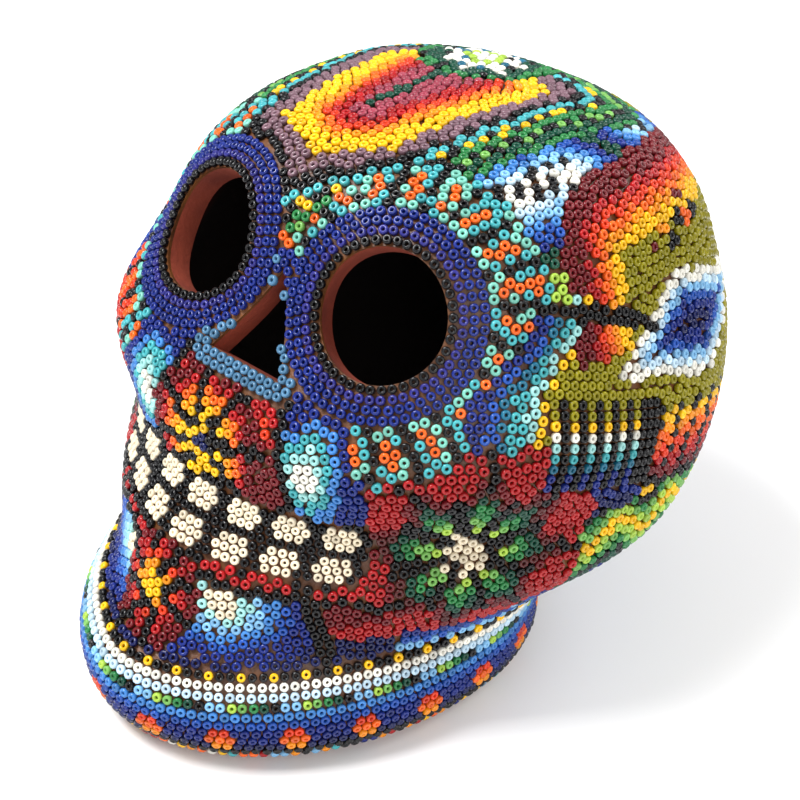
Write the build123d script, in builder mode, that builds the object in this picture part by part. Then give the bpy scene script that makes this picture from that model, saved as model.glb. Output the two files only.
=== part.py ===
"""Beaded skull: a hollow fired clay skull, a wax coat, and a skin of glass seed beads in motif fields.

Millimetres, +Z up. The origin is on the table, under the middle of the object's box.
The face looks along -Y, and the skull's own left side is +X.
"""

from math import asin, cos, pi, radians, sin
import os

from build123d import *

# Driving dimensions
CROWN = 112.0  # height of the finished skull
BEAD_RISE = 1.3  # how far the beads stand out of the wax
WAX = 0.7  # thickness of the wax that the beads are pressed into
CLAY_WALL = 5.0
FOOT = 2.5  # bare clay below the lowest row of beads
ROW_PITCH = 1.85  # from one row of beads to the next
BAND_TOP = 21.5  # top of the white row that closes the jaw band

EYE_RADIUS = 12.3
EYE_X, EYE_Y, EYE_Z = 22.3, -30.0, 89.3  # middle of the left eye's hole
EYE_TURN, EYE_RISE = 11.0, 35.0  # degrees outward and upward that an eye looks
EYE_ROWS = 4  # rows of beads in an eye's ring, the rim row among them
FRINGE_RADIUS = 28.5

NOSE_HALF_WIDTH = 9.0
NOSE_TOP_Z, NOSE_BOTTOM_Z, NOSE_Y = 90.5, 75.0, -37.0
NOSE_LEAN = 36.5  # degrees that the nose's plane leans back
NOSE_BORDER = 2 * ROW_PITCH

LOWER_TEETH_Z = 39.0
TOOTH_HEIGHT = 3 * ROW_PITCH
TEETH_HALF_WIDTH = 31.0

POUR_HOLE_RADIUS = 22.0  # opening in the underside, left from the casting
POUR_HOLE_Y = -16.5
CUT_REACH = 30.0  # how far a cutter runs each way from the face
ROOM = 400.0  # larger than the skull in every direction
HEXAGON_FOOT_Z = 96.0  # the motifs drawn from above end at these heights
STAR_FOOT_Z = 95.3
HALO_SHIFT = {"left": (-0.55, 0.4), "right": (0, 0)}  # the two sides were laid by hand and differ a little
PANEL_SHIFT = {"left": (0, 0), "right": (0.8, -0.65)}
SIDES = {"left": 1, "right": -1}

# Level sections of the finished skull, from the table to the crown:
# height, front, back, half width, fullness of the front's corners.
GIRTHS = [
    (0, -67, 34, 41.5, 1.9),
    (4.5, -71, 33, 44, 1.9),
    (9, -73, 31.5, 45, 1.85),
    (16, -73, 32, 44.5, 1.8),
    (23.5, -66, 41, 46, 1.7),
    (38, -59, 58, 59, 1.65),
    (51, -50, 69, 60.5, 1.95),
    (64, -47.5, 73, 59, 2.7),
    (75, -40.5, 73.5, 55, 3.2),
    (85, -33.5, 70.5, 50.5, 3.4),
    (94, -29.5, 66, 47, 3.3),
    (101, -25, 60, 43, 3.1),
    (106.5, -18, 54, 37.5, 2.9),
    (109.5, -10, 48, 29.5, 2.6),
    (110.9, -1, 44, 22.5, 2.4),
    (111.7, 8, 38, 14, 2.2),
    (112, 16, 31, 7, 2.1),
]
WIDEST_AT = 0.58  # share of the length, from the front, where a section is widest
BACK_FULLNESS = 2.15
GIRTH_POINTS = 24
GIRTH_PARAMETERS = list(range(GIRTH_POINTS + 1))  # alike on every girth, so that the loft runs even
CROWN_SHARE = 0.15  # least share of a layer's depth that is taken sideways, at the crown

os.makedirs("parts", exist_ok=True)


def girth_points(front, back, half_width, fullness, inset):
    """Points round one level section, starting at the front."""
    middle = front + (back - front) * WIDEST_AT
    points = []
    for step in range(GIRTH_POINTS):
        turn = 2 * pi * step / GIRTH_POINTS
        ahead, side = cos(turn), sin(turn)
        power = fullness if ahead > 0 else BACK_FULLNESS
        reach = (middle - front if ahead > 0 else back - middle) - inset
        ray = (abs(ahead) ** power + abs(side) ** power) ** (-1 / power)
        points.append(((half_width - inset) * ray * side, middle - reach * ray * ahead))
    return points


def skull_form(depth):
    """The solid skull at a depth below the tops of the beads."""
    with BuildPart() as form:
        for height, front, back, half_width, fullness in GIRTHS:
            inset = depth * max(cos(asin(height / CROWN)), CROWN_SHARE)
            with BuildSketch(Plane.XY.offset(height * (1 - depth / CROWN))):
                with BuildLine():
                    points = girth_points(front, back, half_width, fullness, inset)
                    add(Edge.make_spline(points, periodic=True, parameters=GIRTH_PARAMETERS))
                make_face()
        loft()
    return form.part


def drum(origin, outward, radius):
    """A drum across the skin at a point, along the way the skin faces there."""
    with BuildPart() as cutter:
        with BuildSketch(Plane(origin=origin, z_dir=outward)):
            Circle(radius)
        extrude(amount=CUT_REACH, both=True)
    return cutter.part


def eye_drum(side, radius):
    """A drum on an eye's axis. side is 1 for the left eye and -1 for the right."""
    turn, rise = radians(EYE_TURN), radians(EYE_RISE)
    outward = (side * sin(turn) * cos(rise), -cos(turn) * cos(rise), sin(rise))
    return drum((side * EYE_X, EYE_Y, EYE_Z), outward, radius)


def nose_prism(margin):
    """The three-cornered nose opening, grown all round by a margin."""
    lean = radians(NOSE_LEAN)
    half_height = (NOSE_TOP_Z - NOSE_BOTTOM_Z) / cos(lean) / 2
    middle = (0, NOSE_Y, (NOSE_TOP_Z + NOSE_BOTTOM_Z) / 2)
    with BuildPart() as prism:
        with BuildSketch(Plane(origin=middle, x_dir=(1, 0, 0), z_dir=(0, -cos(lean), sin(lean)))):
            with BuildLine():
                Polyline(
                    (-NOSE_HALF_WIDTH, -half_height),
                    (NOSE_HALF_WIDTH, -half_height),
                    (0, half_height),
                    close=True,
                )
            make_face()
            if margin:
                offset(amount=margin)
        extrude(amount=CUT_REACH, both=True)
    return prism.part


def prism(plane, depth, *outline):
    """A prism from a plane, with a straight-sided outline."""
    with BuildPart() as cutter:
        with BuildSketch(plane):
            with BuildLine():
                Polyline(*outline, close=True)
            make_face()
        extrude(amount=depth)
    return cutter.part


def slab(low, high):
    """Everything between two heights."""
    with BuildPart() as cutter:
        with BuildSketch(Plane.XY.offset(low)):
            Rectangle(ROOM, ROOM)
        extrude(amount=high - low)
    return cutter.part


def front_prism(*outline):
    """The front of the skull inside an outline of (x, z) points."""
    return prism(Plane.XZ, ROOM, *outline)


def front_box(half_width, low, height):
    """The front of the skull between two heights, as far as a half width each way."""
    high = low + height
    return front_prism((-half_width, low), (half_width, low), (half_width, high), (-half_width, high))


def side_prism(side, *outline):
    """One side of the skull inside an outline of (y, z) points."""
    return prism(Plane.YZ, side * ROOM, *outline)


def top_prism(side, foot, *outline):
    """The top of the skull, down to a foot height, inside an outline of (x, y) points, mirrored for side -1."""
    return prism(Plane.XY.offset(foot), ROOM, *[(side * x, y) for x, y in outline])


def shifted(shift, *outline):
    """An outline moved bodily by a small shift."""
    return [(x + shift[0], y + shift[1]) for x, y in outline]


# The three holes through the face, cut alike through clay, wax and beads
with BuildPart() as face_holes:
    add(eye_drum(1, EYE_RADIUS))
    add(eye_drum(-1, EYE_RADIUS))
    add(nose_prism(0))
holes = face_holes.part

# Fired clay skull: cast hollow, with the pour hole left open in the underside
clay_form = skull_form(BEAD_RISE + WAX)
with BuildPart() as hollow:
    add(skull_form(BEAD_RISE + WAX + CLAY_WALL))
    add(slab(CLAY_WALL, ROOM), mode=Mode.INTERSECT)
with BuildPart() as clay_skull:
    add(clay_form)
    add(hollow.part, mode=Mode.SUBTRACT)
    add(holes, mode=Mode.SUBTRACT)
    with BuildSketch(Plane.XY.offset(-CLAY_WALL)):
        with Locations((0, POUR_HOLE_Y)):
            Circle(POUR_HOLE_RADIUS)
    extrude(amount=3 * CLAY_WALL, mode=Mode.SUBTRACT)
clay_skull.part.label = "clay_skull"
export_step(clay_skull.part, "parts/clay_skull.step")

# Wax coat: a thin even layer over the clay, down to the bare foot
wax_form = skull_form(BEAD_RISE)
with BuildPart() as wax_coat:
    add(wax_form)
    add(slab(FOOT, ROOM), mode=Mode.INTERSECT)
    add(clay_form, mode=Mode.SUBTRACT)
    add(holes, mode=Mode.SUBTRACT)
wax_coat.part.label = "wax_coat"
export_step(wax_coat.part, "parts/wax_coat.step")

# Bead skin: all that the beads cover, before it is shared out between the motifs
with BuildPart() as bead_skin:
    add(skull_form(0))
    add(slab(FOOT, ROOM), mode=Mode.INTERSECT)
    add(wax_form, mode=Mode.SUBTRACT)
    add(holes, mode=Mode.SUBTRACT)


def bead_field(skin, name, cutter):
    """Write one motif's field of beads, and return the skin that it leaves."""
    with BuildPart() as field:
        add(skin)
        add(cutter, mode=Mode.INTERSECT)
    field.part.label = name
    export_step(field.part, f"parts/{name}.step")
    with BuildPart() as left_over:
        add(skin)
        add(cutter, mode=Mode.SUBTRACT)
    return left_over.part


# Jaw band: level rows right round the base, closed by a white row
skin = bead_field(bead_skin.part, "jaw_edge_row", slab(0, FOOT + ROW_PITCH))
skin = bead_field(skin, "jaw_blue_band", slab(0, BAND_TOP - ROW_PITCH))
skin = bead_field(skin, "jaw_white_row", slab(0, BAND_TOP))

# Eyes: a dark rim row at each hole, then the blue rows round it
for word, side in SIDES.items():
    skin = bead_field(skin, f"{word}_eye_rim", eye_drum(side, EYE_RADIUS + ROW_PITCH))
    skin = bead_field(skin, f"{word}_eye_ring", eye_drum(side, EYE_RADIUS + EYE_ROWS * ROW_PITCH))

# Nose: two rows round the opening
skin = bead_field(skin, "nose_border", nose_prism(NOSE_BORDER))

# Teeth: two rows of bead clusters with a dark line between them
line_z = LOWER_TEETH_Z + TOOTH_HEIGHT
skin = bead_field(skin, "lower_teeth", front_box(TEETH_HALF_WIDTH, LOWER_TEETH_Z, TOOTH_HEIGHT))
skin = bead_field(skin, "teeth_line", front_box(TEETH_HALF_WIDTH, line_z, ROW_PITCH))
skin = bead_field(skin, "upper_teeth", front_box(TEETH_HALF_WIDTH, line_z + ROW_PITCH, TOOTH_HEIGHT))
teeth_top = line_z + ROW_PITCH + TOOTH_HEIGHT

# Crown: a round star field, and the long hexagon that runs from it down the forehead
skin = bead_field(skin, "crown_star", drum((-10, 38, CROWN), (0, 0, 1), 15))
hexagon = [(-7, -40), (9, -11), (15, 36), (-9, 44), (-31, 32), (-24, -13)]
skin = bead_field(skin, "brow_hexagon", top_prism(1, HEXAGON_FOOT_Z, *hexagon))

# Muzzle between nose and teeth: a sun diamond with a wedge each side
diamond = [(-3, 76), (13, 64), (11, teeth_top), (-17, teeth_top), (-18, 64)]
skin = bead_field(skin, "muzzle_diamond", front_prism(*diamond))
for word, side in SIDES.items():
    wedge = [(0, 80), (27, 72), (TEETH_HALF_WIDTH, 62), (TEETH_HALF_WIDTH, teeth_top), (0, teeth_top)]
    skin = bead_field(skin, f"{word}_muzzle_wedge", front_prism(*[(side * x, z) for x, z in wedge]))

# Chin: a flower in the middle with a leaf each side
skin = bead_field(skin, "chin_flower", drum((-2, -60, 30), (0, -1, 0), 10))
for word, side in SIDES.items():
    leaf = [(0, 0), (36, 0), (36, 32), (TEETH_HALF_WIDTH, LOWER_TEETH_Z), (0, LOWER_TEETH_Z)]
    skin = bead_field(skin, f"{word}_chin_leaf", front_prism(*[(side * x, z) for x, z in leaf]))

# Each side of the skull, from the eye's fringe round to the back
for word, side in SIDES.items():
    skin = bead_field(skin, f"{word}_cheek_flower", drum((side * 46, -26, 47), (side * 0.8, -0.58, 0.1), 21))
    skin = bead_field(skin, f"{word}_eye_fringe", eye_drum(side, FRINGE_RADIUS))
    star = [(9, -20), (40, -16), (44, 4), (38, 22), (25, 38), (12, 24)]
    skin = bead_field(skin, f"{word}_star_field", top_prism(side, STAR_FOOT_Z, *star))
    rhombus = [(4, 76), (28, 89), (53, 78), (26, 68)]
    skin = bead_field(skin, f"{word}_rhombus", side_prism(side, *rhombus))
    halo = shifted(HALO_SHIFT[word], (-14, 94), (-8, 130), (44, 130), (52, 98), (40, 90), (0, 88))
    skin = bead_field(skin, f"{word}_halo", side_prism(side, *halo))
    wing = [(-22, 60), (-14, 78), (11, 70), (13, 50), (-3, 55)]
    skin = bead_field(skin, f"{word}_wing_fringe", side_prism(side, *wing))
    feathers = [(11, 67), (48, 60), (48, 38), (6, 34), (12, 50)]
    skin = bead_field(skin, f"{word}_feathers", side_prism(side, *feathers))
    panel = [(-14, 78), (0, 88), (40, 90), (52, 98), (62, 90), (62, 58), (11, 67)]
    panel = shifted(PANEL_SHIFT[word], *panel)
    skin = bead_field(skin, f"{word}_side_panel", side_prism(side, *panel))
    temple = [(-60, BAND_TOP), (-60, 100), (-8, 100), (0, 88), (-14, 78), (-22, 60), (-3, 55), (-3, BAND_TOP)]
    skin = bead_field(skin, f"{word}_temple_field", side_prism(side, *temple))

# Back: what is left of the skin, as two halves
for word, side in SIDES.items():
    half = [(-ROOM, -ROOM), (ROOM, -ROOM), (ROOM, ROOM), (-ROOM, ROOM)]
    skin = bead_field(skin, f"{word}_back_field", side_prism(side, *half))
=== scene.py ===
"""Beaded skull: hollow fired clay, a coat of wax, and about ten thousand glass seed beads pressed into it."""

import math
import random

import bmesh
import bpy
import numpy as np
from mathutils import Matrix, Vector
from mathutils.bvhtree import BVHTree
from mathutils.kdtree import KDTree


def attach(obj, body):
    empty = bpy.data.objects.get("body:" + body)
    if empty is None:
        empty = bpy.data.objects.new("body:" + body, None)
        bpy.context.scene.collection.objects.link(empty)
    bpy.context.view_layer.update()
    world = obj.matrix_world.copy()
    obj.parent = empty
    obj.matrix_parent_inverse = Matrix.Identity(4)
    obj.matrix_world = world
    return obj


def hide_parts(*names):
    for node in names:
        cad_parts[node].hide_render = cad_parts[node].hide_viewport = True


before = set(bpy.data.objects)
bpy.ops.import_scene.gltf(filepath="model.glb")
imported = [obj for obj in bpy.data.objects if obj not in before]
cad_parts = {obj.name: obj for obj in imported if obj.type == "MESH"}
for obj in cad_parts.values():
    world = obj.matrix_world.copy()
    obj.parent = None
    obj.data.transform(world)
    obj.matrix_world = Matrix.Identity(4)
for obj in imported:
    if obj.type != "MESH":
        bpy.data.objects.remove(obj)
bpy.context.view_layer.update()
chance = random.Random(11)


# ---- Clay skull -------------------------------------------------------------------------------
# Cast in red earthenware, about 5 mm thick, and fired once without glaze. The bare clay shows
# inside the eyes and nose and as a thin edge that the skull stands on.
def material(name, colour, roughness):
    """A material with its plain colour and roughness set, ready for nodes."""
    made = bpy.data.materials.new(name)
    made.use_nodes = True
    shader = made.node_tree.nodes["Principled BSDF"]
    shader.inputs["Base Color"].default_value = (*colour, 1)
    shader.inputs["Roughness"].default_value = roughness
    return made, made.node_tree.nodes, made.node_tree.links, shader


def mottle(nodes, links, scale, detail, low, high):
    """Cloudy variation between two colours, fixed to the object."""
    place = nodes.new("ShaderNodeTexCoord")
    cloud = nodes.new("ShaderNodeTexNoise")
    cloud.inputs["Scale"].default_value = scale
    cloud.inputs["Detail"].default_value = detail
    ramp = nodes.new("ShaderNodeValToRGB")
    ramp.color_ramp.elements[0].position, ramp.color_ramp.elements[1].position = 0.32, 0.68
    ramp.color_ramp.elements[0].color = (*low, 1)
    ramp.color_ramp.elements[1].color = (*high, 1)
    links.new(place.outputs["Object"], cloud.inputs["Vector"])
    links.new(cloud.outputs["Fac"], ramp.inputs["Fac"])
    return place, ramp


def roughen(nodes, links, shader, place, scale, strength, distance):
    """Fine relief from noise."""
    grain = nodes.new("ShaderNodeTexNoise")
    grain.inputs["Scale"].default_value = scale
    grain.inputs["Detail"].default_value = 6
    relief = nodes.new("ShaderNodeBump")
    relief.inputs["Strength"].default_value = strength
    relief.inputs["Distance"].default_value = distance
    links.new(place.outputs["Object"], grain.inputs["Vector"])
    links.new(grain.outputs["Fac"], relief.inputs["Height"])
    links.new(relief.outputs["Normal"], shader.inputs["Normal"])


CLAY = (0.21, 0.030, 0.013)
INSIDE_SHADE = (0.010, 0.004, 0.003, 1)  # painted shade for the inside of the hollow skull, not a colour of the clay
clay, nodes, links, shader = material("fired_clay", CLAY, 0.78)
place, ramp = mottle(nodes, links, 90, 5, (0.13, 0.017, 0.008), (0.29, 0.047, 0.021))
# Painted shade: deeper inside the hollow skull, past the eye and nose openings, the clay colour is mixed towards near
# black. The foot edge keeps the plain clay colour.
inward = nodes.new("ShaderNodeVectorMath")
inward.operation = "DOT_PRODUCT"
inward.inputs[1].default_value = (0, 0.82, -0.57)
depth = nodes.new("ShaderNodeMapRange")
depth.inputs["From Min"].default_value, depth.inputs["From Max"].default_value = -0.068, -0.050
above = nodes.new("ShaderNodeSeparateXYZ")
foot = nodes.new("ShaderNodeMapRange")
foot.inputs["From Min"].default_value, foot.inputs["From Max"].default_value = 0.003, 0.006
both = nodes.new("ShaderNodeMath")
both.operation = "MULTIPLY"
dark = nodes.new("ShaderNodeMix")
dark.data_type = "RGBA"
dark.inputs["B"].default_value = INSIDE_SHADE
links.new(place.outputs["Object"], inward.inputs[0])
links.new(inward.outputs["Value"], depth.inputs["Value"])
links.new(place.outputs["Object"], above.inputs["Vector"])
links.new(above.outputs["Z"], foot.inputs["Value"])
links.new(depth.outputs["Result"], both.inputs[0])
links.new(foot.outputs["Result"], both.inputs[1])
links.new(both.outputs["Value"], dark.inputs["Factor"])
links.new(ramp.outputs["Color"], dark.inputs["A"])
links.new(dark.outputs["Result"], shader.inputs["Base Color"])
roughen(nodes, links, shader, place, 900, 0.35, 0.0004)
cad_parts["clay_skull"].data.materials[0] = clay

# ---- Wax coat ---------------------------------------------------------------------------------
# Beeswax with pine resin, spread under a millimetre thick. It holds the beads and shows golden
# brown in the gaps between them.
WAX = (0.11, 0.036, 0.009)
wax, nodes, links, shader = material("wax", WAX, 0.42)
place, ramp = mottle(nodes, links, 160, 4, (0.060, 0.019, 0.006), (0.16, 0.055, 0.013))
links.new(ramp.outputs["Color"], shader.inputs["Base Color"])
roughen(nodes, links, shader, place, 1400, 0.5, 0.0003)
wax_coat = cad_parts["wax_coat"]
wax_coat.data.materials[0] = wax

# ---- The surface that the beads are pressed into ------------------------------------------------
# The outside of the wax, in millimetres, without the walls of the eye and nose holes. Every bead
# lies on it, hole outward.
CORE = np.array([0, 6, 50.0])  # a point deep inside the skull
EYE_RADIUS = 12.3
EYES = {side: np.array([side * 22.3, -30.0, 89.3]) for side in (1, -1)}
TURN, RISE = math.radians(11), math.radians(35)
EYE_AXES = {
    side: np.array([side * math.sin(TURN) * math.cos(RISE), -math.cos(TURN) * math.cos(RISE), math.sin(RISE)])
    for side in (1, -1)
}
NOSE_MIDDLE = np.array([0, -37.0, 82.75])
LEAN = math.radians(36.5)
NOSE_AXIS = np.array([0, -math.cos(LEAN), math.sin(LEAN)])
NOSE_UP = np.array([0, math.sin(LEAN), math.cos(LEAN)])
NOSE_HALF_HEIGHT = 7.75 / math.cos(LEAN)
NOSE = [(-9.0, -NOSE_HALF_HEIGHT), (9.0, -NOSE_HALF_HEIGHT), (0.0, NOSE_HALF_HEIGHT)]


def points_of(obj):
    """An object's corners in millimetres, and its triangles."""
    corners = np.empty(len(obj.data.vertices) * 3)
    obj.data.vertices.foreach_get("co", corners)
    obj.data.calc_loop_triangles()
    triangles = np.empty(len(obj.data.loop_triangles) * 3, int)
    obj.data.loop_triangles.foreach_get("vertices", triangles)
    return corners.reshape(-1, 3) * 1000, triangles.reshape(-1, 3)


def inside(flat, outline):
    """How far points in a plane lie inside an outline; negative outside."""
    near = np.full(len(flat), 1e9)
    within = np.zeros(len(flat), bool)
    for (ax, ay), (bx, by) in zip(outline, outline[1:] + outline[:1]):
        edge = np.array([bx - ax, by - ay])
        off = flat - (ax, ay)
        share = np.clip(off @ edge / (edge @ edge), 0, 1)
        near = np.minimum(near, np.linalg.norm(off - share[:, None] * edge, axis=1))
        crossed = (ay > flat[:, 1]) != (by > flat[:, 1])
        height = by - ay if by != ay else 1e-9
        within ^= crossed & (flat[:, 0] < ax + (flat[:, 1] - ay) * (bx - ax) / height)
    return np.where(within, near, -near)


def eye_distance(points, side):
    """Distance from an eye's axis, for points at the front of the skull."""
    off = points - EYES[side]
    return np.linalg.norm(off - (off @ EYE_AXES[side])[:, None] * EYE_AXES[side], axis=1)


def nose_margin(points):
    """Distance outside the nose opening, seen along its axis."""
    off = points - NOSE_MIDDLE
    return -inside(np.stack([off[:, 0], off @ NOSE_UP], axis=1), NOSE)


corners, triangles = points_of(wax_coat)
a, b, c = (corners[triangles[:, k]] for k in range(3))
middles = (a + b + c) / 3
across = np.cross(b - a, c - a)
areas = np.linalg.norm(across, axis=1) / 2
normals = across / np.maximum(2 * areas, 1e-9)[:, None]
front = middles[:, 1] < 0
outer = (normals * (middles - CORE)).sum(1) > 0.05 * np.linalg.norm(middles - CORE, axis=1)
outer &= areas > 1e-7
outer &= ~((np.abs(normals[:, 2]) > 0.995) & (middles[:, 2] < 90))
for side in (1, -1):
    wall = np.abs((normals * EYE_AXES[side]).sum(1)) < 0.08
    outer &= ~(front & wall & (eye_distance(middles, side) < EYE_RADIUS + 0.3))
wall = np.abs((normals * NOSE_AXIS).sum(1)) < 0.08
outer &= ~(front & wall & (nose_margin(middles) < 0.3))
surface = BVHTree.FromPolygons(corners.tolist(), triangles[outer].tolist())

# Which bead field of the part each place on the wax belongs to
fields = sorted(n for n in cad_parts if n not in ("clay_skull", "wax_coat"))
field_corners, field_triangles, field_of = [], [], []
for number, node in enumerate(fields):
    corners_here, triangles_here = points_of(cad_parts[node])
    field_triangles.append(triangles_here + sum(len(x) for x in field_corners))
    field_corners.append(corners_here)
    field_of += [number] * len(triangles_here)
field_tree = BVHTree.FromPolygons(np.concatenate(field_corners).tolist(), np.concatenate(field_triangles).tolist())


def owner(point):
    """Name of the bead field at a point on the wax."""
    return fields[field_of[field_tree.find_nearest(point)[2]]]


# ---- How the beads are laid -------------------------------------------------------------------
# Size 11/0 beads, 2.05 mm across. The maker lays a line of them along the edge of a shape and
# then row against row, so that each bead nests between two of the row before.
PITCH = 2.05
ROW = 1.85
FIRST_ROW = 0.8  # from an edge to the middle of the row beside it
CELL = 2.5  # side of the cubes that neighbouring beads are looked up in
laid, laid_field, laid_colour, laid_fixed = [], [], [], []
cells = {}


def cell_of(point):
    """The cube that a point lies in."""
    return tuple(int(math.floor(x / CELL)) for x in point)


def clear_of(point, gap):
    """True if no bead laid so far is nearer than the gap."""
    i, j, k = cell_of(point)
    for cell in ((i + p, j + q, k + r) for p in (-1, 0, 1) for q in (-1, 0, 1) for r in (-1, 0, 1)):
        for other in cells.get(cell, ()):
            if math.dist(laid[other], point) < gap:
                return False
    return True


def lay(point, field, colour=None, fixed=False, gap=1.72):
    """Lay one bead if there is room for it."""
    if not clear_of(point, gap):
        return
    cells.setdefault(cell_of(point), []).append(len(laid))
    laid.append(tuple(point))
    laid_field.append(field)
    laid_colour.append(colour)
    laid_fixed.append(fixed)


def lengths_of(line):
    """The length of a line of points up to each of them."""
    return np.concatenate([[0], np.cumsum(np.linalg.norm(np.diff(line, axis=0), axis=1))])


def level_line(height, low_turn, high_turn):
    """Points along the wax at one height, from one turn about the middle to another, and their length."""
    line = []
    for turn in np.linspace(low_turn, high_turn, 721):
        hit = surface.ray_cast((0, -20, height), (math.sin(turn), -math.cos(turn), 0))[0]
        if hit:
            line.append(hit)
    line = np.array(line)
    return line, lengths_of(line)


def along(line, lengths, where):
    """The point at a length along a line."""
    return [np.interp(where, lengths, line[:, k]) for k in range(3)]


def evenly(profiles, reach):
    """On each of many lines over the wax, the point at one distance from the line's start."""
    points = []
    for line in profiles:
        lengths = lengths_of(line)
        if lengths[-1] > reach:
            points.append(along(line, lengths, reach))
    points = np.array(points)
    return points, lengths_of(points)


# Jaw band: eleven rows upward from the foot with one count of beads, every other row shifted by half
BAND_ROW = 1.87
band_profiles = []
for turn in np.linspace(-math.pi, math.pi, 361):
    out = (math.sin(turn), -math.cos(turn), 0)
    hits = [surface.ray_cast((0, -20, height), out)[0] for height in np.arange(2.7, 28, 0.5)]
    band_profiles.append(np.array([hit for hit in hits if hit]))
BAND_COLOURS = ["dotted", "white", "pale_blue", "sky", "mid_blue", "blue", "cobalt", "cobalt", "navy", "black", "mixed"]
MIXED = ["red", "turquoise", "yellow", "white", "green", "orange", "cobalt", "black", "brown_red", "amber", "sky"]
FLOWER_EVERY = 7
line, lengths = level_line(12, -math.pi, math.pi)
band_count = round(lengths[-1] / PITCH / FLOWER_EVERY) * FLOWER_EVERY
for row, plain in enumerate(BAND_COLOURS):
    line, lengths = evenly(band_profiles, FIRST_ROW + BAND_ROW * (len(BAND_COLOURS) - 1 - row))
    for column in range(band_count):
        spot = column % FLOWER_EVERY
        colour = plain
        if plain == "mixed":
            colour = chance.choice(MIXED)
        if plain == "dotted":
            colour = "black" if column % 3 else "yellow"
        if row == 3 and 1 <= spot <= 5:
            colour = ["lime", "light_green", "green", "dark_green", "black"][spot - 1]
        if row == 7 and spot in (6, 0, 1):
            colour = "orange"
        if row in (6, 8) and spot in (6, 0):
            colour = "orange_red" if row == 6 else "amber"
        slip = 0.5 if row % 2 == 0 else 0.0
        where = lengths[-1] * ((column + slip + chance.uniform(-0.04, 0.04)) / band_count)
        point = along(line, lengths, where)
        node = {10: "jaw_edge_row", 1: "jaw_white_row", 0: None}.get(row, "jaw_blue_band")
        lay(point, node or owner(point), colour, fixed=True, gap=1.5)

# Teeth: seven clusters of 3, 4 and 3 beads in each row, and a black line between the rows
TEETH = 7
TOOTH_BEADS = 5  # beads along a row from one tooth to the next
TEETH_HALF_WIDTH = 31
TEETH_ROWS = [
    ("lower_teeth", 40.7), ("lower_teeth", 42.2), ("lower_teeth", 43.7), ("teeth_line", 45.2),
    ("upper_teeth", 46.7), ("upper_teeth", 48.25), ("upper_teeth", 49.8),
]
for row, (node, height) in enumerate(TEETH_ROWS):
    line, lengths = level_line(height, -1.45, 1.45)
    kept = np.abs(line[:, 0]) < TEETH_HALF_WIDTH
    first, last = lengths[kept][0], lengths[kept][-1]
    step = (last - first) / (TOOTH_BEADS * TEETH)
    for k in range(TOOTH_BEADS * TEETH):
        where = first + (k + 0.5 + 0.5 * (row % 2) + chance.uniform(-0.05, 0.05)) * step
        white = k % TOOTH_BEADS < 4 if row % 2 else 0 < k % TOOTH_BEADS < 4
        colour = "cream" if white and node != "teeth_line" else "black"
        lay(along(line, lengths, where), node, colour, fixed=True, gap=1.5)

# Eyes: a black rim row and three rows of blue
EYE_ROW = 1.83
RING_REACH = 23  # how far from an eye's axis the rows are followed
for side, word in ((1, "left"), (-1, "right")):
    axis = EYE_AXES[side]
    level = np.cross(axis, (0, 0, 1))
    level /= np.linalg.norm(level)
    upright = np.cross(level, axis)
    eye_profiles = []
    for turn in np.linspace(0, 2 * math.pi, 241):
        line = []
        for radius in np.arange(EYE_RADIUS + 0.1, RING_REACH, 0.3):
            spot = EYES[side] + radius * (math.cos(turn) * level + math.sin(turn) * upright)
            hit, normal, _, _ = surface.ray_cast(spot + 60 * axis, -axis)
            if hit is not None and normal.dot(axis) > 0.1:
                line.append(hit)
        eye_profiles.append(np.array(line))
    for row, colour in enumerate(("black", "violet", "cobalt", "cobalt")):
        loop, lengths = evenly(eye_profiles, FIRST_ROW + EYE_ROW * row)
        count = round(lengths[-1] / 2.0)
        for k in range(count):
            where = lengths[-1] * (k + 0.5 * (row % 2) + chance.uniform(-0.05, 0.05)) / count
            hit = np.array(along(loop, lengths, where))
            if nose_margin(hit[None])[0] > 0.75:
                lay(hit, f"{word}_eye_rim" if row == 0 else f"{word}_eye_ring", colour, fixed=True, gap=1.6)

# Wing fringe: short slanting columns, black and coloured by turns
WING_TOP, WING_DROP, WING_SLANT, WING_END = 77.5, 0.30, 0.22, 12.5
WING_STEP = 1.95
WING_COLUMNS = 14
WING_ROWS = ["olive", "olive", "yellow", "white", "pale_turquoise", "turquoise", "teal", "cobalt", "cobalt"]
for side, word in ((1, "left"), (-1, "right")):
    for row, colour in enumerate(WING_ROWS):
        for column in range(WING_COLUMNS):
            depth = 1.0 + WING_STEP * row
            y = -12.5 + WING_STEP * column - WING_SLANT * depth
            z = WING_TOP - WING_DROP * (y + 14) - depth
            hit = surface.ray_cast((side * 90, y, z), (-side, 0, 0))[0]
            if hit is not None:
                plain = "black" if column % 2 or column > 11 else colour
                lay(hit, owner(hit), plain, fixed=True, gap=1.6)

# Nose: two rows round the three-cornered opening
for row in range(2):
    margin = ROW * (row + 0.5)
    loop = []
    for k, (x, y) in enumerate(NOSE):
        px, py = NOSE[k - 1]
        out_before = np.array([y - py, px - x]) / math.hypot(x - px, y - py)
        nx, ny = NOSE[(k + 1) % 3]
        out_after = np.array([ny - y, x - nx]) / math.hypot(nx - x, ny - y)
        for share in np.linspace(0, 1, 12):
            lean = out_before * (1 - share) + out_after * share
            loop.append(np.array([x, y]) + margin * lean / np.linalg.norm(lean))
    loop = np.array(loop + loop[:1])
    lengths = lengths_of(loop)
    count = round(lengths[-1] / 2.0)
    for k in range(count):
        x, y = (np.interp(lengths[-1] * (k + 0.5 * row) / count, lengths, loop[:, j]) for j in range(2))
        spot = NOSE_MIDDLE + (x, 0, 0) + y * NOSE_UP
        hit = surface.ray_cast(spot + 40 * NOSE_AXIS, -NOSE_AXIS)[0]
        if hit is not None and hit.y < 0:
            lay(hit, "nose_border", "steel" if y < 4 else "cobalt", fixed=True, gap=1.6)

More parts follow.
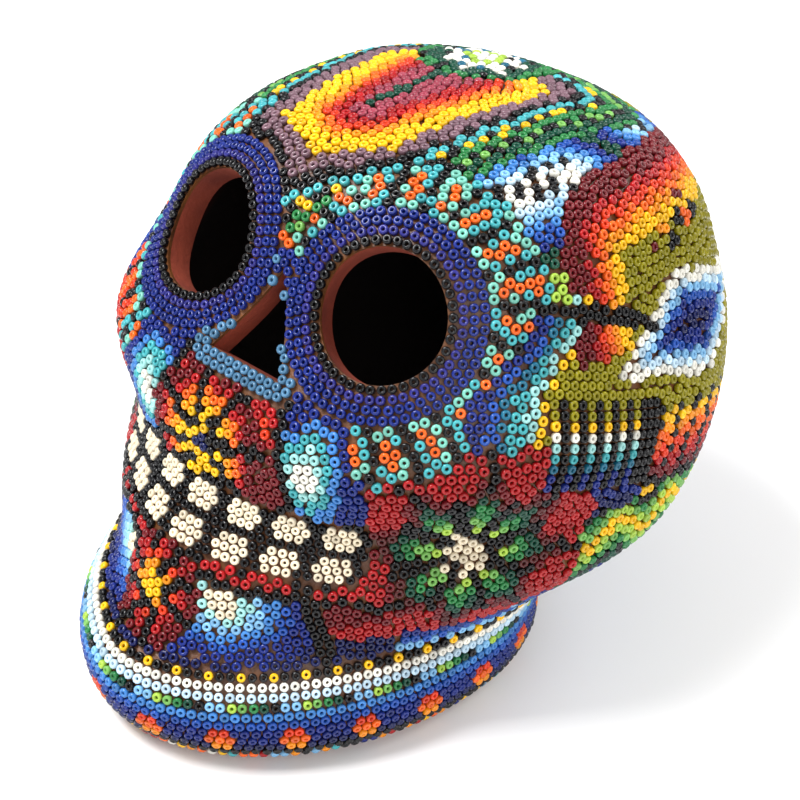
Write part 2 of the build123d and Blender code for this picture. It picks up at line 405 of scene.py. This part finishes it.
# The other fields, each in rows that follow its own shape. All distances are in millimetres, and
# the fields of the right side are laid as mirror images of the left ones.
HEXAGON = [(-6, -22), (9, -11), (15, 36), (-9, 44), (-31, 30), (-24, -13)]
CROWN_MIDDLE = (-10, 38, 111.5)
SUN = (-3.3, -50, 58.6)
CHIN = (-2.5, -60, 31)
CHEEK = (45, -26, 47)
LEAF = (12, -56.5, 32.6)
WEDGE = (21, -45, 61)
HALO = (47, 16, 89)
BACK = (0, 73, 62)
RHOMBUS = [(3, 76), (27, 88.5), (57, 79), (33, 67.5)]
PETAL = ((33, 11, 109), (30, -8, 107))


def from_line(points, start, end):
    """Distance from a straight line between two places."""
    start, end = np.array(start, float), np.array(end, float)
    share = np.clip((points - start) @ (end - start) / ((end - start) @ (end - start)), 0, 1)
    return np.linalg.norm(points - start - share[:, None] * (end - start), axis=1)


def from_place(points, place, stretch=(1, 1, 1)):
    """Distance from one place, with a stretch along the axes."""
    return np.linalg.norm((points - np.array(place)) / stretch, axis=1)


def below_wing(points):
    """Depth below the upper edge of the wing fringe."""
    return (WING_TOP - WING_DROP * (points[:, 1] + 14) - points[:, 2]) * 0.97


def below_feathers(points):
    """Depth below the upper edge of the feathers."""
    return (67 - 0.19 * (points[:, 1] - 11) - points[:, 2]) * 1.02


RUNS = {
    "jaw_white_row": lambda q, p: -p[:, 2],
    "jaw_blue_band": lambda q, p: -p[:, 2],
    "lower_teeth": lambda q, p: p[:, 2],
    "upper_teeth": lambda q, p: p[:, 2],
    "teeth_line": lambda q, p: p[:, 2],
    "eye_ring": lambda q, p: eye_distance(q, 1),
    "nose_border": lambda q, p: nose_margin(p),
    "crown_star": lambda q, p: from_place(p, CROWN_MIDDLE),
    "brow_hexagon": lambda q, p: np.abs(inside(p[:, :2], HEXAGON)),
    "muzzle_diamond": lambda q, p: from_place(p, SUN),
    "chin_flower": lambda q, p: from_place(p, CHIN),
    "cheek_flower": lambda q, p: from_place(q, CHEEK),
    "chin_leaf": lambda q, p: from_place(q, LEAF, (1.7, 1.7, 1)),
    "muzzle_wedge": lambda q, p: from_place(q, WEDGE),
    "eye_fringe": lambda q, p: eye_distance(q, 1),
    "star_field": lambda q, p: from_line(q, *PETAL),
    "rhombus": lambda q, p: inside(q[:, 1:], RHOMBUS),
    "halo": lambda q, p: from_place(q, HALO),
    "side_panel": lambda q, p: q[:, 2],
    "wing_fringe": lambda q, p: q[:, 1],
    "feathers": lambda q, p: below_feathers(q),
    "temple_field": lambda q, p: -q[:, 1],
    "back_field": lambda q, p: from_place(q, BACK),
}


def kind_of(node):
    """A field's name without its side, and the side: 1 left, -1 right, 0 neither."""
    for word, side in (("left_", 1), ("right_", -1)):
        if node.startswith(word):
            return node[len(word):], side
    return node, 0


spread = np.random.default_rng(5)
counts = np.maximum(1, (areas[outer] * 9).astype(int))
pick = np.repeat(np.flatnonzero(outer), counts)
u, v = np.sqrt(spread.random(len(pick))), spread.random(len(pick))
seeds = a[pick] * (1 - u)[:, None] + b[pick] * (u * (1 - v))[:, None] + c[pick] * (u * v)[:, None]
seed_field = np.array([field_of[field_tree.find_nearest(s)[2]] for s in seeds.tolist()])
seed_tree = KDTree(len(seeds))
for number, seed in enumerate(seeds.tolist()):
    seed_tree.insert(seed, number)
seed_tree.balance()


def fill(gap):
    """Lay beads wherever there is room for one, field by field along its rows."""
    free = np.ones(len(seeds), bool)
    for bead in laid:
        for _, number, _ in seed_tree.find_range(bead, gap):
            free[number] = False
    for number, node in enumerate(fields):
        kind, side = kind_of(node)
        if kind not in RUNS:
            continue
        here = np.flatnonzero((seed_field == number) & free)
        if not len(here):
            continue
        order = RUNS[kind](seeds[here] * (side or 1, 1, 1), seeds[here])
        for n in here[np.argsort(order)].tolist():
            if free[n]:
                lay(seeds[n], node, gap=gap * 0.98)
                for _, other, _ in seed_tree.find_range(seeds[n], gap):
                    free[other] = False


def settle(rounds, reach):
    """Push neighbouring beads apart until they lie evenly, and keep them on the wax."""
    places = np.array(laid)
    fixed = np.array(laid_fixed)
    for _ in range(rounds):
        tree = KDTree(len(places))
        rows = places.tolist()
        for number, place in enumerate(rows):
            tree.insert(place, number)
        tree.balance()
        push = np.zeros_like(places)
        for number, place in enumerate(rows):
            if fixed[number]:
                continue
            px, py, pz = place
            sx = sy = sz = 0.0
            for other, index, gap in tree.find_range(place, reach):
                if index != number:
                    force = 0.42 * (reach - gap) / max(gap, 0.05)
                    sx += force * (px - other[0])
                    sy += force * (py - other[1])
                    sz += force * (pz - other[2])
            push[number] = sx, sy, sz
        places += np.clip(push, -0.5, 0.5)
        for number in np.flatnonzero(~fixed).tolist():
            places[number] = surface.find_nearest(places[number])[0]
    laid[:] = [tuple(p) for p in places.tolist()]
    cells.clear()
    for number, place in enumerate(laid):
        cells.setdefault(cell_of(place), []).append(number)


fill(1.84)
settle(16, 2.08)
fill(1.66)
settle(18, 2.05)

# Each bead faces out from the wax round it, and its room is the distance to its nearest neighbour
SMOOTHING = 3.5
beads_at = np.array(laid)
beads_field = np.array(laid_field)
facing = np.empty_like(beads_at)
room = np.empty(len(beads_at))
bead_tree = KDTree(len(beads_at))
for number, place in enumerate(laid):
    bead_tree.insert(place, number)
bead_tree.balance()
for number, place in enumerate(laid):
    smooth = Vector()
    for _, normal, _, away in surface.find_nearest_range(place, SMOOTHING):
        smooth += normal * (SMOOTHING + 0.1 - away)
    facing[number] = smooth.normalized()
    room[number] = bead_tree.find_n(place, 2)[1][2]

# ---- One bead ---------------------------------------------------------------------------------
# A short drawn glass tube, tumbled in heat until its ends are round: 2.05 mm across, 1.36 mm
# long, with a hole of about 0.7 mm.
BEAD_PROFILE = [(0.33, 0.38), (0.62, 0.68), (0.99, 0.40), (0.99, -0.40), (0.62, -0.68), (0.33, -0.38)]
BEAD_SIDES = 10
SEAT_HEIGHT = 0.60  # from the wax to the middle of a bead
TILT = 0.045
bm = bmesh.new()
ring = [bm.verts.new((x, 0, z)) for x, z in BEAD_PROFILE]
edges = [bm.edges.new((ring[k], ring[(k + 1) % len(ring)])) for k in range(len(ring))]
bmesh.ops.spin(
    bm, geom=ring + edges, cent=(0, 0, 0), axis=(0, 0, 1), angle=2 * math.pi, steps=BEAD_SIDES, use_merge=True,
    use_duplicate=False,
)
bmesh.ops.recalc_face_normals(bm, faces=bm.faces)
for face in bm.faces:
    face.smooth = True
one_bead = bpy.data.meshes.new("one_bead")
bm.to_mesh(one_bead)
bm.free()
bead_shape = np.empty(len(one_bead.vertices) * 3)
one_bead.vertices.foreach_get("co", bead_shape)
bead_shape = bead_shape.reshape(-1, 3)

# Opaque glass in these colours, with small differences from bead to bead
GLASS = {
    "black": (0.004, 0.004, 0.005), "navy": (0.006, 0.010, 0.075), "cobalt": (0.008, 0.020, 0.17),
    "violet": (0.022, 0.022, 0.17), "blue": (0.014, 0.070, 0.34), "mid_blue": (0.045, 0.19, 0.50),
    "sky": (0.19, 0.42, 0.66), "pale_blue": (0.48, 0.64, 0.76), "white": (0.78, 0.76, 0.68),
    "cream": (0.76, 0.66, 0.49), "pale_turquoise": (0.30, 0.60, 0.58), "turquoise": (0.050, 0.34, 0.37),
    "teal": (0.010, 0.12, 0.20), "mint": (0.17, 0.50, 0.40), "steel": (0.065, 0.17, 0.29),
    "lime": (0.34, 0.52, 0.060), "light_green": (0.15, 0.37, 0.080), "green": (0.022, 0.18, 0.050),
    "dark_green": (0.005, 0.055, 0.032), "olive": (0.24, 0.21, 0.004), "yellow": (0.82, 0.46, 0.006),
    "amber": (0.80, 0.26, 0.006), "orange": (0.76, 0.115, 0.010), "orange_red": (0.60, 0.036, 0.008),
    "red": (0.34, 0.008, 0.010), "dark_red": (0.135, 0.006, 0.010), "rose": (0.27, 0.040, 0.065),
    "mauve": (0.17, 0.095, 0.12), "brown_red": (0.075, 0.010, 0.010),
}
glass_of = {}


def glass(name):
    """The material of one colour of bead."""
    if name in glass_of:
        return glass_of[name]
    colour = GLASS[name]
    made, nodes, links, shader = material(f"glass_{name}", colour, 0.20)
    shader.inputs["Specular IOR Level"].default_value = 0.32
    shader.inputs["Coat Weight"].default_value = 0.08
    shader.inputs["Coat Roughness"].default_value = 0.05
    tone = nodes.new("ShaderNodeAttribute")
    tone.attribute_name = "tone"
    mix = nodes.new("ShaderNodeMix")
    mix.data_type = "RGBA"
    mix.inputs["A"].default_value = (*[x * 0.72 for x in colour], 1)
    mix.inputs["B"].default_value = (*[min(1, x * 1.22) for x in colour], 1)
    links.new(tone.outputs["Fac"], mix.inputs["Factor"])
    links.new(mix.outputs["Result"], shader.inputs["Base Color"])
    glass_of[name] = made
    return made


def seat(number):
    """Where one bead sits: its place, its slight tilt and its own size."""
    up = Vector(facing[number])
    up = (up + Vector([chance.gauss(0, TILT) for _ in range(3)])).normalized()
    level = up.orthogonal().normalized()
    turned = Matrix.Rotation(chance.uniform(0, 2 * math.pi), 3, up) @ level
    wide = min(1.03, max(0.88, room[number] / PITCH)) * chance.uniform(0.97, 1.02)
    tall = chance.uniform(0.92, 1.04)
    basis = Matrix((turned * wide, up.cross(turned) * wide, up * tall)).transposed()
    middle = Vector(beads_at[number]) + up * (SEAT_HEIGHT + chance.uniform(-0.05, 0.05))
    return np.array(basis), np.array(middle)


def string_beads(node, colours):
    """Press a field's beads in, in these colours, in place of its plain skin."""
    here = np.flatnonzero(beads_field == node)
    names = []
    bm = bmesh.new()
    tones = []
    work = one_bead.copy()
    for number, colour in zip(here.tolist(), colours):
        colour = laid_colour[number] or colour
        if colour not in names:
            names.append(colour)
        basis, middle = seat(number)
        work.vertices.foreach_set("co", ((bead_shape @ basis.T + middle) / 1000).ravel())
        work.polygons.foreach_set("material_index", [names.index(colour)] * len(work.polygons))
        bm.from_mesh(work)
        tones.append(min(1.0, max(0.0, chance.gauss(0.5, 0.22))))
    mesh = bpy.data.meshes.new(f"{node}_beads")
    bm.to_mesh(mesh)
    bm.free()
    bpy.data.meshes.remove(work)
    for name in names:
        mesh.materials.append(glass(name))
    tone = mesh.attributes.new("tone", "FLOAT", "FACE")
    tone.data.foreach_set("value", np.repeat(tones, len(one_bead.polygons)).astype(np.float32))
    obj = bpy.data.objects.new(f"{node}_beads", mesh)
    bpy.context.scene.collection.objects.link(obj)
    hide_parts(node)
    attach(obj, "root")


def places(node, side=1):
    """The places of a field's beads, mirrored onto the left side for side -1."""
    return beads_at[beads_field == node] * (side, 1, 1)


def steps(distance, *bands):
    """Colours in steps of distance: pairs of a limit and a colour, then the colour beyond."""
    names = np.full(len(distance), bands[-1], dtype=object)
    for limit, name in reversed(bands[:-1]):
        names[distance < limit] = name
    return names


def round_about(points, middle, outward, count, turn=0.0):
    """Distance from the middle of a flower, and from the nearest of its spokes."""
    outward = np.array(outward, float) / np.linalg.norm(outward)
    level = np.cross((0, 0, 1), outward) if abs(outward[2]) < 0.9 else np.array([1.0, 0, 0])
    level /= np.linalg.norm(level)
    upright = np.cross(outward, level)
    off = points - np.array(middle)
    x, y = off @ level, off @ upright
    angle = np.arctan2(y, x) - turn
    apart = 2 * math.pi / count
    angle = (angle + apart / 2) % apart - apart / 2
    return np.hypot(x, y), np.abs(np.hypot(x, y) * np.sin(angle)), angle / apart


# ---- Jaw band ---------------------------------------------------------------------------------
# Eleven level rows round the base: white at the top, shading through blues to black, with small
# flowers and green dashes, and a last row of odd beads. The colours were set as it was laid.
string_beads("jaw_edge_row", ["black"] * len(places("jaw_edge_row")))
string_beads("jaw_blue_band", ["cobalt"] * len(places("jaw_blue_band")))
string_beads("jaw_white_row", ["navy"] * len(places("jaw_white_row")))

# ---- Teeth ------------------------------------------------------------------------------------
# Two rows of seven teeth in cream beads with black between.
for node, slot in (("lower_teeth", "teeth"), ("upper_teeth", "teeth"), ("teeth_line", "teeth_line")):
    string_beads(node, ["black"] * len(places(node)))

# ---- Nose border ------------------------------------------------------------------------------
# Two rows of steel blue round the opening, cobalt towards the top.
string_beads("nose_border", ["steel"] * len(places("nose_border")))

# ---- Eyes -------------------------------------------------------------------------------------
# Each eye has a black rim row and a ring of three blue rows, laid true to the hole.
for side, word in ((1, "left"), (-1, "right")):
    for part in ("eye_rim", "eye_ring"):
        node = f"{word}_{part}"
        string_beads(node, ["cobalt"] * len(places(node)))

# ---- Crown star -------------------------------------------------------------------------------
# A dark green round on top of the skull with white triangles pointing outward.
where = places("crown_star")
away, spoke, share = round_about(where, CROWN_MIDDLE, (0, 0, 1), 8, 0.2)
colours = steps(away, (2.2, "white"), (4.2, "lime"), (8, "teal"), (12, "dark_green"), "green")
colours[(away > 5) & (away < 11) & (spoke < (11 - away) * 0.36)] = "white"
colours[(np.abs(share) > 0.44) & (away > 4)] = "black"
string_beads("crown_star", colours)

# ---- Brow hexagon -----------------------------------------------------------------------------
# A long hexagon down the forehead in closed rows from mauve through yellow and red to rose, with
# a dark line down the middle.
def beside_hexagon(points):
    """Colours of the borders that run along the hexagon's outside."""
    away = -inside(points[:, :2], HEXAGON)
    teeth = (np.floor((points[:, 1] + points[:, 0] * 0.4) / 2.6) % 2).astype(bool)
    colours = steps(
        away, (1.9, "black"), (3.7, "turquoise"), (5.6, "zig"), (7.4, "green"), (9.3, "zag"), (11.2, "dark_green"),
        (13.0, "green"), (14.9, "lime"), (16.8, "dark_green"), "teal",
    )
    colours[colours == "zig"] = np.where(teeth, "black", "yellow")[colours == "zig"]
    colours[colours == "zag"] = np.where(teeth, "light_green", "black")[colours == "zag"]
    return colours


where = places("brow_hexagon")
within = inside(where[:, :2], HEXAGON)
colours = steps(
    within, (3.6, "mauve"), (8.0, "yellow"), (9.6, "amber"), (11.0, "orange"), (12.2, "orange_red"), (14.6, "red"),
    "rose",
)
spine = from_line(where * (1, 1, 0), (-9, 2, 0), (-9.5, 26, 0))
colours[spine < 1.3] = "dark_green"
colours = np.where(within > 0, colours, beside_hexagon(where))
string_beads("brow_hexagon", colours)

# ---- Sun diamond and wedges under the nose ----------------------------------------------------
# Yellow petals on dark red with black lines, and blue wedges on both sides with a pale middle.
where = places("muzzle_diamond")
away, spoke, share = round_about(where, SUN, (0, -1, 0.35), 8, 0.25)
colours = steps(away, (1.6, "navy"), (7.0, "yellow"), (8.6, "amber"), (10.2, "orange"), (12, "red"), "dark_red")
colours[(spoke < 1.05) & (away > 2.5) & (np.abs(where[:, 0] - SUN[0]) > 1)] = "black"
string_beads("muzzle_diamond", colours)
for side, word in ((1, "left"), (-1, "right")):
    node = f"{word}_muzzle_wedge"
    where = places(node, side)
    away = from_place(where, WEDGE, (0.8, 1, 1.3))
    colours = steps(away, (2.6, "white"), (4.4, "pale_turquoise"), (6.4, "turquoise"), (8.4, "mid_blue"), "cobalt")
    edge = (where[:, 0] - 12) + (where[:, 2] - 60) * 0.25
    colours[edge < 2.5] = steps(from_place(where, (9, -47, 66)), (3, "orange_red"), (6, "red"), "dark_red")[edge < 2.5]
    colours[np.abs(edge - 3.4) < 0.95] = "black"
    string_beads(node, colours)

# ---- Chin flower and leaves -------------------------------------------------------------------
# A flower with eight black lines in the middle of the chin, and a shaded leaf on each side.
where = places("chin_flower")
away, spoke, share = round_about(where, CHIN, (0, -1, 0), 8, 0.39)
colours = steps(away, (2.3, "yellow"), (4.2, "amber"), (6.0, "orange_red"), (8.2, "red"), "dark_red")
colours[(away > 2.6) & (spoke < 0.95)] = "black"
string_beads("chin_flower", colours)
for side, word in ((1, "left"), (-1, "right")):
    node = f"{word}_chin_leaf"
    where = places(node, side)
    away = from_place(where, LEAF, (1.5, 1.5, 1))
    colours = steps(
        away, (2.4, "cream"), (4.0, "pale_turquoise"), (5.6, "sky"), (7.2, "mid_blue"), (9.0, "blue"), (13, "cobalt"),
        "navy",
    )
    low = (where[:, 2] > 36.5) | (where[:, 0] > 27)
    colours[low] = steps(where[:, 2], (27, "navy"), (31, "red"), (35, "dark_red"), "red")[low]
    colours[(np.abs(where[:, 0] - 27 - (30 - where[:, 2]) * 0.3) < 1.0) | (np.abs(where[:, 2] - 36.3) < 0.9)] = "black"
    string_beads(node, colours)

# ---- Sides and back of the skull --------------------------------------------------------------
# Cheek flower, star and forehead borders, olive panel with its rhombus, halo, fringe and feathers,
# and a sun on the back of the head. Both sides carry the same motifs as mirror images.
OLIVE_BORDER = [(-1, 88), (-14, 78), (-17, 71)]  # front edge of the olive panel, as (y, z)
OLIVE_EDGE = [(51, 9, 83), (46, 11, 97), (44, 32, 97.5), (38, 52, 96)]  # its edge towards the halo


def olive_border(heights):
    """How far back the olive's front edge lies at these heights."""
    return np.interp(heights, [z for _, z in OLIVE_BORDER[::-1]], [y for y, _ in OLIVE_BORDER[::-1]])


def side_colours(q, real):
    """The colour of every bead on a side, from the back forward, with later motifs over earlier ones."""
    y, z = q[:, 1], q[:, 2]
    # Sun on the back of the head, in closed rounds with twelve rays
    away, spoke, share = round_about(q, BACK, (0, 1, 0.1), 12, math.pi / 12)
    reach = from_place(q, BACK) * (1 + 0.30 * np.abs(share))
    colours = steps(
        reach, (3, "black"), (6, "yellow"), (9, "amber"), (12, "orange"), (15.5, "orange_red"), (19, "red"),
        (22.5, "dark_red"), (24.5, "black"), (28, "white"), (31, "pale_blue"), (35, "sky"), (39, "mid_blue"),
        (44, "blue"), (50, "cobalt"), (52, "black"), "olive",
    )
    colours[(np.abs(share) < 0.05) & (away > 10) & (away < 46)] = "black"

    # Halo round the olive panel: yellow next to the olive, through red to dark red
    outward = np.minimum.reduce([from_line(q, p, r) for p, r in zip(OLIVE_EDGE, OLIVE_EDGE[1:])])
    outside = (z > 97 + (y > 32) * (32 - y) * 0.08) | (y < 10)
    halo = outside & (outward < 15) & (z > 80) & (y > -12)
    rings = steps(
        outward, (3.4, "yellow"), (4.9, "amber"), (6.6, "orange"), (8.3, "orange_red"), (10.4, "red"), "dark_red"
    )
    colours[halo] = rings[halo]
    arm = (z > 84) & (y < -4) & ~halo
    colours[arm] = np.where(y < -9, "green", "lime")[arm]

    # Olive panel, with a black eye and a few odd beads in its upper corner
    olive = ~outside & (z > 66 - 0.3 * np.maximum(0, y - 11)) & (reach > 50)
    colours[olive] = "olive"
    colours[from_place(q, (48.4, 12.6, 94.6)) < 2.5] = "black"
    for spot, radius, colour in (
        ((46, 20, 95), 1.6, "dark_red"), ((45, 27, 94), 2.0, "black"), ((45, 25, 97), 1.6, "amber"),
        ((44, 31, 97), 2.2, "black"), ((44, 34, 96), 1.7, "orange"), ((43, 37, 96), 1.9, "black"),
        ((42, 33, 100), 1.5, "dark_red"),
    ):
        colours[from_place(q, spot) < radius] = colour

    # Rhombus on the olive: white, then light to dark blue
    within = inside(q[:, 1:], RHOMBUS)
    gems = steps(
        within, (1.7, "white"), (3.0, "pale_blue"), (4.3, "sky"), (5.5, "blue"), (7.4, "cobalt"), "navy",
    )
    gem = (within > -0.2) & (q[:, 0] > 20)
    colours[gem] = gems[gem]

    # Blue steps in front of the olive, behind a line of yellow
    border = olive_border(z)
    front = (y < border + 0.8) & (z > 40) & (z < 92) & (y > -42) & (q[:, 0] > 20)
    edge = (border - y) * 0.86
    blues = steps(
        edge, (1.2, "yellow"), (3.0, "pale_turquoise"), (4.9, "turquoise"), (6.8, "teal"), (8.6, "blue"),
        (14, "cobalt"), "turquoise",
    )
    colours[front] = blues[front]

    # Under the wing fringe: cobalt, then the feathers in flame colours with slanting black lines
    depth = below_wing(q)
    wing = (y > -13.5) & (y < WING_END - WING_SLANT * depth) & (depth > -0.5) & (z > 50) & (q[:, 0] > 20)
    colours[wing] = steps(
        depth, (4, "olive"), (6, "yellow"), (8, "white"), (10, "pale_turquoise"), (12, "turquoise"), (14, "teal"),
        (19, "cobalt"), "navy",
    )[wing]
    depth = below_feathers(q)
    feathers = (y >= WING_END - WING_SLANT * below_wing(q)) & (depth > -1.5) & (z > 30) & (reach > 46)
    flames = steps(
        depth, (0, "olive"), (2.4, "yellow"), (4.6, "amber"), (7, "orange"), (9.4, "orange_red"), (12.2, "red"),
        (14.4, "dark_red"), (16.4, "black"), (18.6, "yellow"), (21, "lime"), (24, "green"), "dark_green",
    )
    flames[((y + depth * 0.4) % 6.4 < 1.9) & (depth < 14)] = "black"
    colours[feathers] = flames[feathers]

    # A green snake between feathers and jaw band, on blue
    low = (z < 50) & (y > -14) & (depth > 16) & (reach > 46)
    wave = z - 44 - 2.2 * np.sin(y * 0.42)
    snake = steps(
        np.abs(wave), (1.2, "yellow"), (2.6, "lime"), (4.3, "light_green"), (6.0, "green"), (7.6, "black"),
        (11, "dark_green"), (15, "cobalt"), (18, "blue"), "sky",
    )
    colours[low] = snake[low]

    # Cheek flower: cream heart, green rounds and red petals, with black spokes two beads wide
    away, spoke, share = round_about(q, CHEEK, (0.8, -0.58, 0.1), 8, 0.3)
    petal = away * (1 + 0.16 * np.cos(2 * math.pi * share))
    flower = (from_place(q, CHEEK) < 24.5 + 1.5 * np.cos(2 * math.pi * share)) & (z < 70)
    rounds = steps(
        petal, (4.6, "cream"), (6.4, "lime"), (8.2, "light_green"), (10.4, "green"), (12.8, "dark_green"),
        (14.4, "brown_red"), (16.6, "dark_red"), "red",
    )
    rounds[(away > 3.6) & (away < 15) & (spoke < 1.3)] = "black"
    rounds[(away >= 15) & (np.abs(share) > 0.44)] = "black"
    colours[flower] = rounds[flower]
    foot = (z < 27.5) & (y > -60)
    colours[foot] = steps(z, (24.4, "sky"), (26, "blue"), "cobalt")[foot]

    # Thick black line from the eye's fringe into the olive
    colours[from_line(q, (44, -11, 93), (52, 17, 82)) < 1.75] = "black"

    # Star petals over the forehead: white hearts in blue, one beside the halo and one behind it
    away = np.minimum(from_line(q, *PETAL), from_place(q, (26, 38, 109.5)) * 0.95)
    star = (z > 92) & ~halo & (y < 48) & (away < 14)
    petals = steps(
        away, (2.6, "white"), (4.4, "pale_blue"), (6.2, "sky"), (8.0, "mid_blue"), (9.9, "blue"), (12, "cobalt"),
        "dark_green",
    )
    petals[(away < 4.6) & (np.sin(y * 1.4 + q[:, 0]) > 0.6)] = "black"
    colours[star] = petals[star]
    beside = -inside(real[:, :2], HEXAGON)
    near = (z > 94) & (beside < 12.5) & (beside > 0)
    colours[near] = beside_hexagon(real)[near]
    return colours


SIDE_FIELDS = (
    "cheek_flower", "star_field", "rhombus", "halo", "side_panel", "wing_fringe", "feathers", "temple_field",
    "back_field",
)
FRINGE_RAYS = 22


def fringe_colours(q, side):
    """Rays round an eye: turquoise or mint with an orange middle, and black lines between."""
    away, spoke, share = round_about(q, EYES[1], EYE_AXES[1], FRINGE_RAYS)
    colours = np.where(np.sin(q[:, 0] * 0.7 + q[:, 2] * 0.9) > 0, "turquoise", "mint").astype(object)
    colours[(spoke < 1.05) & (away > 20.8) & (away < 27)] = "orange"
    colours[np.abs(share) > 0.385] = "black"
    if side < 0:
        far = (q[:, 2] < 80) & (q[:, 0] > 34) & (away > 21.5)
        colours[far] = steps(np.abs(share), (0.16, "orange"), (0.38, "orange_red"), "black")[far]
    edge = (olive_border(q[:, 2]) - q[:, 1]) * 0.86
    blue = (edge < 10.5) & (q[:, 2] < 91) & (q[:, 0] > 38) & (away > 21)
    colours[blue] = side_colours(q, q * (side, 1, 1))[blue]
    return colours


for side, word in ((1, "left"), (-1, "right")):
    node = f"{word}_eye_fringe"
    string_beads(node, fringe_colours(places(node, side), side))
    for kind in SIDE_FIELDS:
        node = f"{word}_{kind}"
        where = places(node, side)
        string_beads(node, side_colours(where, where * (side, 1, 1)))

# ---- Table and light --------------------------------------------------------------------------
# A plain pale table and soft light from above on both sides.
bm = bmesh.new()
bmesh.ops.create_grid(bm, x_segments=1, y_segments=1, size=3.0)
floor_mesh = bpy.data.meshes.new("floor")
bm.to_mesh(floor_mesh)
bm.free()
floor = bpy.data.objects.new("floor", floor_mesh)
bpy.context.scene.collection.objects.link(floor)
paper, nodes, links, shader = material("paper", (0.86, 0.86, 0.86), 0.9)
floor_mesh.materials.append(paper)

for name, spot, power, size in (
    ("key", (-0.30, -0.35, 0.80), 11.0, 0.35),
    ("fill", (0.65, -0.35, 0.45), 3.0, 0.6),
    ("back", (0.25, 0.55, 0.6), 3.5, 0.5),
):
    lamp = bpy.data.lights.new(name, "AREA")
    lamp.energy, lamp.size = power, size
    light = bpy.data.objects.new(name, lamp)
    light.location = spot
    light.rotation_mode = "QUATERNION"
    light.rotation_quaternion = (Vector((0, 0, 0.05)) - Vector(spot)).to_track_quat("-Z", "Y")
    bpy.context.scene.collection.objects.link(light)
world = bpy.data.worlds.new("studio")
world.use_nodes = True
world.node_tree.nodes["Background"].inputs["Color"].default_value = (1, 1, 1, 1)
world.node_tree.nodes["Background"].inputs["Strength"].default_value = 0.55
bpy.context.scene.world = world
bpy.context.scene.view_settings.view_transform = "Standard"

# Camera: from the skull's left front, well above it
AZIMUTH, ELEVATION, ROLL = math.radians(38.22), math.radians(32.88), math.radians(5.03)
DISTANCE, AIM = 0.3261, Vector((0.00058, 0.00602, 0.04497))
right = Vector((math.cos(AZIMUTH), math.sin(AZIMUTH), 0))
back = Vector(
    (math.sin(AZIMUTH) * math.cos(ELEVATION), -math.cos(AZIMUTH) * math.cos(ELEVATION), math.sin(ELEVATION))
)
up = back.cross(right)
lens = bpy.data.cameras.new("camera")
lens.lens, lens.sensor_width = 68.5, 36
camera = bpy.data.objects.new("camera", lens)
rolled = Matrix((right * math.cos(ROLL) + up * math.sin(ROLL), up * math.cos(ROLL) - right * math.sin(ROLL), back))
camera.matrix_world = Matrix.Translation(AIM + back * DISTANCE) @ rolled.transposed().to_4x4()
bpy.context.scene.collection.objects.link(camera)
bpy.context.scene.camera = camera
